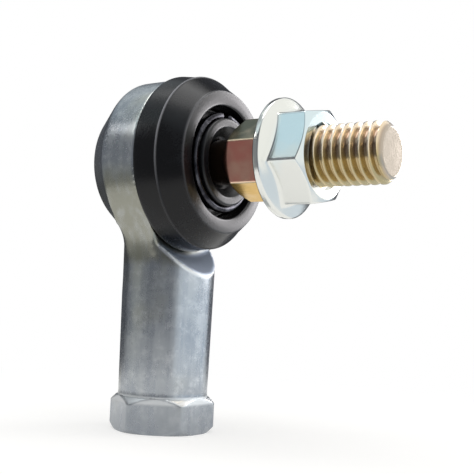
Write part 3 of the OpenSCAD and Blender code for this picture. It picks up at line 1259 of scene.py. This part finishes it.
@dataclass
class DustBoot:
    """Moulded boot: bead in the groove, band, crease, cone, crowned front face, fold and lip."""

    centre: Vector
    rear: float
    lip: float
    band_r: float
    band_draft: float = 0.06
    band_round: float = 0.45
    groove_r: float = 9.85
    boss_r: float = 10.65
    boss_front: float = 4.35
    bead_end: float = 3.25
    crease: float = 6.1
    crease_r: float = 11.95
    flash: tuple[Span, ...] = ((-0.16, 0.02), (-0.06, 0.12), (0.06, 0.09), (0.16, -0.1))
    flash_round: float = 0.04
    face: float = 9.15
    face_r: float = 9.85
    face_round: float = 0.14
    crown: float = 0.06
    crown_round: float = 6.0
    fold_r: float = 7.85
    fold: float = 6.3
    fold_lean: float = 0.28
    mouth_round: float = 0.3
    seat: float = 8.45
    seat_half: float = 0.6
    seat_r: float = 5.85
    lip_r: float = 6.1
    lip_step: float = 0.05
    lip_round: float = 0.32
    hollow_r: float = 4.9
    hollow_round: float = 0.4
    seal_r: float = 3.15
    seal_rise: float = 0.3
    wiper: float = 0.85
    wall: float = 1.1
    flare: float = 0.5
    fillet: float = 0.25
    edge: float = 0.1
    step: float = 0.22
    segments: int = 168
    bend: Span = (3.2, 8.1)
    # Grey lines on the crease and the face's edge, partly wear and partly a painted highlight that fades
    # towards the bottom.
    wear_span: Span = (0.16, 0.06)
    wear_edge: Span = (0.1, 0.05)
    wear_depth: float = 0.2
    face_wear: float = 0.4
    wear_heights: Span = (-7.0, 3.0)
    wear_least: float = 0.15
    rubbed_span: Span = (-0.3, -0.2)
    rubbed_share: float = 0.3
    finish: BootRubber = BootRubber()

    def outline(self) -> np.ndarray:
        """Closed outline of the boot's section, from the band round the front to the bead.

        Returns:
            The outline's points as rows of (x, r).
        """
        seat_start, seat_end = self.seat - self.seat_half, self.seat + self.seat_half
        rim = self.face - self.crown
        back = self.face - self.wall
        inner = self.fold - self.wall
        sharp = 0.0
        return rounded([
            (self.rear, self.band_r + self.band_draft, self.band_round),
            *((self.crease + x, self.crease_r + r, self.flash_round) for x, r in self.flash),
            (rim, self.face_r, self.face_round),
            (self.face, (self.face_r + self.fold_r) / 2, self.crown_round),
            (rim, self.fold_r, self.mouth_round),
            (self.fold, self.fold_r - self.fold_lean, self.fillet),
            (self.fold, self.lip_r + self.lip_step, self.fillet),
            (seat_start, self.lip_r + self.lip_step, self.edge),
            (seat_start, self.seat_r, self.edge),
            (seat_end, self.seat_r, self.edge),
            (seat_end, self.lip_r, self.edge),
            (self.lip, self.lip_r, self.lip_round),
            (self.lip, self.hollow_r, self.hollow_round),
            (seat_start + self.seal_rise, self.seal_r + self.flare, self.edge),
            (seat_start, self.seal_r, sharp),
            (seat_start - self.wall, self.seal_r + self.wiper, self.edge),
            (self.fold, self.hollow_r, self.fillet),
            (inner, self.hollow_r + self.flare, self.fillet),
            (inner, self.fold_r + self.wall, self.fillet),
            (back, self.fold_r + self.wall, self.edge),
            (back, self.face_r - self.wall / 2, self.edge),
            (self.crease, self.crease_r - self.wall, self.fillet),
            (self.boss_front, self.boss_r + self.flare, self.edge),
            (self.boss_front, self.boss_r, self.edge),
            (self.bead_end, self.boss_r, sharp),
            (self.bead_end, self.groove_r, sharp),
            (self.rear, self.groove_r, sharp),
        ], self.step)

    def build(self) -> bpy.types.Object:
        """Makes the boot.

        Returns:
            The boot in its finish.
        """
        x, r = self.outline().T
        piece = turned("dust_boot", x, r, around(self.segments), self.centre, True)
        self._mark_worn(piece)
        piece.data.materials.append(self.finish.build(self.centre))
        start, end = (self.centre + Vector((x * MM, 0.0, 0.0)) for x in self.bend)
        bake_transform(piece)
        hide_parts("boot")
        return piece

    def _mark_worn(self, piece: bpy.types.Object) -> None:
        """Stores how far each vertex is painted grey on the crease and the face's edge, as wear and a painted
        highlight that fades towards the bottom, and how far it is rubbed bright.

        Args:
            piece: The boot.
        """
        x, y, z = ((points_of(piece) - np.array(self.centre)) / MM).T
        r = np.hypot(y, z)
        flash = ramp(np.abs(x - self.crease), self.wear_span) * (r > self.crease_r - self.wear_depth)
        edge_x, edge_r = self.face - self.wear_edge[0], self.face_r - self.wear_edge[1]
        rim = ramp(np.hypot(x - edge_x, r - edge_r), self.wear_span)
        # Painted highlight: the grey lines fade towards the bottom, as if lit from above.
        worn = np.maximum(flash, rim * self.face_wear) * ramp(z, self.wear_heights, self.wear_least)
        rubbed = ramp(x - self.face, self.rubbed_span) * self.rubbed_share
        for name, values in ((BootRubber.WORN, worn), (BootRubber.RUBBED, rubbed)):
            piece.data.attributes.new(name, "FLOAT", "POINT").data.foreach_set("value", values)


@dataclass
class SnapRing:
    """Open ring of round wire with domed ends, seated on the boot's lip."""

    centre: Vector
    place: float
    outer_r: float
    wire_r: float = 0.55
    gap: float = 9.0
    gap_at: float = 90.0
    dome_rows: int = 6
    wire_rows: int = 190
    wire_sides: int = 20
    finish: PlainSteel = RING_WIRE

    def build(self) -> bpy.types.Object:
        """Makes the ring.

        Returns:
            The ring in its finish.
        """
        ring_r = self.outer_r - self.wire_r
        reach = math.radians(180.0 - self.gap / 2)
        dome = self.wire_r / ring_r
        tilt = np.linspace(0.0, math.pi / 2, self.dome_rows)
        end = reach - dome * (1 - np.cos(tilt))
        middle = np.linspace(dome - reach, reach - dome, self.wire_rows)[1:-1]
        along = np.concatenate([-end, middle, end[::-1]])
        thick = self.wire_r * np.concatenate([np.sin(tilt), np.ones_like(middle), np.sin(tilt[::-1])])
        across = around(self.wire_sides)
        angle = math.radians(self.gap_at + 180.0) + along[:, None]
        radius = ring_r + thick[:, None] * np.cos(across)
        x = self.place + thick[:, None] * np.sin(across)
        points = np.stack([x, radius * np.cos(angle), radius * np.sin(angle)], axis=-1).reshape(-1, 3)
        faces = grid_faces(len(along), len(across), False)
        piece = mesh_piece("snap_ring", in_frame(points, self.centre), faces)
        piece.data.materials.append(self.finish.build(self.centre))
        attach(piece, "ring_body")
        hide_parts("boot_ring")
        return piece


@dataclass(frozen=True)
class Card:
    """One reflected card: its span round the object in degrees, its span in height, and its tone."""

    turn: Span
    rise: Span
    tone: Colour
    soft: Span = (7.0, 5.0)

    def cover(self, turn: Wire, rise: Wire) -> Wire:
        """1 on the card and 0 off it, with soft edges.

        Args:
            turn: Angle round the object, in degrees.
            rise: Height above the floor.

        Returns:
            The card's cover.
        """
        sides = zip((turn, rise), (self.turn, self.rise), self.soft)
        across, up = (v.band(*((edge - soft, edge + soft) for edge in span)) for v, span, soft in sides)
        return across * up


@dataclass(frozen=True)
class Lamp:
    """Square soft lamp: its name, place and side in metres, power in watts, and colour."""

    name: str
    place: Triple
    side: float
    power: float
    colour: Colour

    def build(self, target: Vector) -> None:
        """Makes the lamp.

        Args:
            target: The point that it faces, in metres.
        """
        lamp = bpy.data.lights.new(self.name, "AREA")
        lamp.size = self.side
        lamp.energy = self.power
        lamp.color = self.colour
        holder = added(self.name, lamp)
        holder.location = self.place
        holder.rotation_euler = (target - Vector(self.place)).to_track_quat("-Z", "Y").to_euler()


@dataclass
class Studio:
    """White floor and background, soft lamps, a dark reflected surround and the camera."""

    HIDDEN_FROM: ClassVar[tuple[str, ...]] = (
        "camera", "diffuse", "transmission", "volume_scatter", "shadow")
    centre: Vector
    azimuth: float = 34.027
    elevation: float = -4.507
    roll: float = 2.597
    distance: float = 129.651
    aside: float = 9.479
    above: float = -9.84
    focal_px: float = 900.42
    sensor: float = 36.0
    nearest: float = 5.0
    sky: Colour = (0.95, 0.97, 1.0)
    sky_strength: float = 0.4
    floor_half: float = 6000.0
    floor_tone: Colour = (0.55, 0.545, 0.535)
    floor_fill: Colour = (1.0, 0.995, 0.98)
    fill_strength: float = 0.57
    floor_fade: Span = (40.0, 100.0)
    card_r: float = 80.0
    card_heights: Span = (0.5, 200.0)
    card_sides: int = 96
    surround_low: Colour = (0.09, 0.095, 0.105)
    surround_high: Colour = (0.45, 0.5, 0.53)
    surround_rise: Span = (80.0, 125.0)
    cards: tuple[Card, ...] = (
        Card((75.0, 138.0), (-20.0, 260.0), (0.1, 0.105, 0.12)),
        Card((-165.0, -95.0), (-20.0, 76.0), (0.24, 0.25, 0.265), (7.0, 12.0)),
        Card((-150.0, -118.0), (-20.0, 34.0), (0.36, 0.37, 0.36)),
        Card((-95.0, -28.0), (-20.0, 76.0), (0.2, 0.21, 0.23), (7.0, 12.0)),
        Card((-28.0, 72.0), (-20.0, 260.0), (0.74, 0.82, 0.9)),
        Card((-28.0, 72.0), (28.0, 260.0), (1.05, 1.05, 1.03)),
        Card((50.0, 67.0), (30.0, 86.0), (8.0, 7.8, 8.0), (3.0, 4.0)),
        Card((-132.0, -100.0), (98.0, 165.0), (0.75, 0.88, 0.92), (6.0, 8.0)),
        Card((-131.0, -120.0), (84.0, 96.0), (6.5, 6.5, 6.5), (2.0, 4.0)),
        Card((-178.0, -168.0), (176.0, 196.0), (1.6, 1.7, 1.6), (2.0, 5.0)),
    )
    lamps: tuple[Lamp, ...] = (
        Lamp("top_softbox", (0.05, -0.1, 0.75), 0.7, 3.0, WHITE),
        Lamp("rear_softbox", (0.5, 0.62, 0.3), 0.4, 1.2, (1.0, 0.99, 0.97)),
    )

    def build(self) -> None:
        """Makes the whole stage."""
        bpy.context.scene.view_settings.view_transform = "Standard"
        self._world()
        self._floor()
        self._cards()
        for lamp in self.lamps:
            lamp.build(self.centre)
        self._camera()

    @staticmethod
    def _seen(tree: Tree) -> Wire:
        """1 for rays from the camera and for mirrored and passed rays, 0 for the light on the object."""
        path = tree.add("ShaderNodeLightPath")
        return path.out("Is Camera Ray").most(path.out("Is Glossy Ray")).most(path.out("Is Transmission Ray"))

    def _world(self) -> None:
        """White for what is seen, and a plain grey light for the rest."""
        world = bpy.data.worlds.new("studio_world")
        bpy.context.scene.world = world
        world.use_nodes = True
        t = Tree(world.node_tree)
        light = t.add("ShaderNodeBackground", None, Color=self.sky, Strength=self.sky_strength)
        white = t.add("ShaderNodeBackground", None, Color=WHITE, Strength=1.0)
        t.add("ShaderNodeOutputWorld", None, t.add("ShaderNodeMixShader", None, self._seen(t), light, white))

    def _floor(self) -> None:
        """White floor that keeps the object's shadow near it."""
        corners = [(-1, -1, 0), (1, -1, 0), (1, 1, 0), (-1, 1, 0)]
        floor = mesh_piece("floor", np.array(corners) * self.floor_half * MM, [range(len(corners))])
        s = Surface("floor_white", Vector())
        matt = s.add("ShaderNodeBsdfDiffuse", None, Color=self.floor_tone)
        fill = s.add("ShaderNodeEmission", None, Color=self.floor_fill, Strength=self.fill_strength)
        near = s.add("ShaderNodeAddShader", None, matt, fill)
        white = s.add("ShaderNodeEmission", None, Color=WHITE, Strength=1.0)
        shown = s.add("ShaderNodeMixShader", None, s.length(s.even).step(self.floor_fade), near, white)
        floor.data.materials.append(s.shown(s.add("ShaderNodeMixShader", None, self._seen(s), matt, shown)))

    def _cards(self) -> None:
        """Ring of cards round the object that only reflections show."""
        angles = around(self.card_sides)
        ring = np.full(len(self.card_heights), self.card_r)
        wall = turned("cards", np.array(self.card_heights), ring, angles, Vector(), False, Axis.SHANK)
        s = Surface("card_tones", Vector())
        x, y, rise = s.parts(s.even)
        turn = s.math("ARCTAN2", y, x) * math.degrees(1.0)
        tone = s.mix(rise.step(self.surround_rise), self.surround_low, self.surround_high)
        for card in self.cards:
            tone = s.mix(card.cover(turn, rise), tone, card.tone)
        wall.data.materials.append(s.shown(s.add("ShaderNodeEmission", None, Color=tone, Strength=1.0)))
        for ray in self.HIDDEN_FROM:
            setattr(wall, f"visible_{ray}", False)

    def _camera(self) -> None:
        """Camera at the photograph's viewing angle."""
        az, el, roll = (math.radians(a) for a in (self.azimuth, self.elevation, self.roll))
        back = Vector((math.sin(az) * math.cos(el), -math.cos(az) * math.cos(el), math.sin(el)))
        right = Vector((math.cos(az), math.sin(az), 0.0))
        up = back.cross(right)
        place = self.centre + (back * self.distance + right * self.aside + up * self.above) * MM
        across = math.cos(roll) * right + math.sin(roll) * up
        upright = math.cos(roll) * up - math.sin(roll) * right
        camera = bpy.data.cameras.new("photo_camera")
        camera.sensor_width = self.sensor
        camera.lens = self.focal_px * self.sensor / PHOTO_SIDE
        camera.clip_start = self.nearest * MM
        holder = added("photo_camera", camera)
        turn = Matrix((across, upright, back)).transposed()
        holder.matrix_world = Matrix.Translation(place) @ turn.to_4x4()
        bpy.context.scene.camera = holder


def reach(node: str, centre: Vector) -> tuple[np.ndarray, np.ndarray]:
    """Lowest and highest corners of a CAD node, in millimetres from the ball centre."""
    low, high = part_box(node)
    return np.array(low - centre) / MM, np.array(high - centre) / MM


def main() -> None:
    """Builds the pieces in order, then the stage."""
    logging.basicConfig(level=logging.INFO, format="%(name)s: %(message)s")
    centre = Vector(frame["joints"][0]["pos_m"])
    mounts = {m["name"]: m for m in frame["record"]["mounts"]}
    nut_low, nut_high = reach("flange_nut", centre)
    stud_low, stud_high = reach("stud", centre)
    boot_low, boot_high = reach("boot", centre)
    ring_low, ring_high = reach("boot_ring", centre)
    stud = BallStud(centre, mounts["stud_thread"], stud_low[0], stud_high[0], nut_low[0])
    threads = ThreadTree("screw_thread", stud.tip - stud.hexagon_end + 2 * stud.thread_sunk)
    pieces = [
        Housing(centre, mounts["rod_thread"]).build(threads),
        stud.build(threads),
        FlangeNut(centre, nut_low[0], nut_high[0], nut_high[1]).build(),
        DustBoot(centre, boot_low[0], boot_high[0], boot_high[1]).build(),
        SnapRing(centre, (ring_low[0] + ring_high[0]) / 2, ring_high[1]).build(),
    ]
    ball = frame["nodes"]["ball"]
    ball.material_slots[0].material = BALL_STEEL.build(centre)
    for piece in [*pieces, ball]:
        LOG.info("%s: %d faces", piece.name, len(piece.data.polygons))
    Studio(centre).build()


if __name__ == "__main__":
    main()
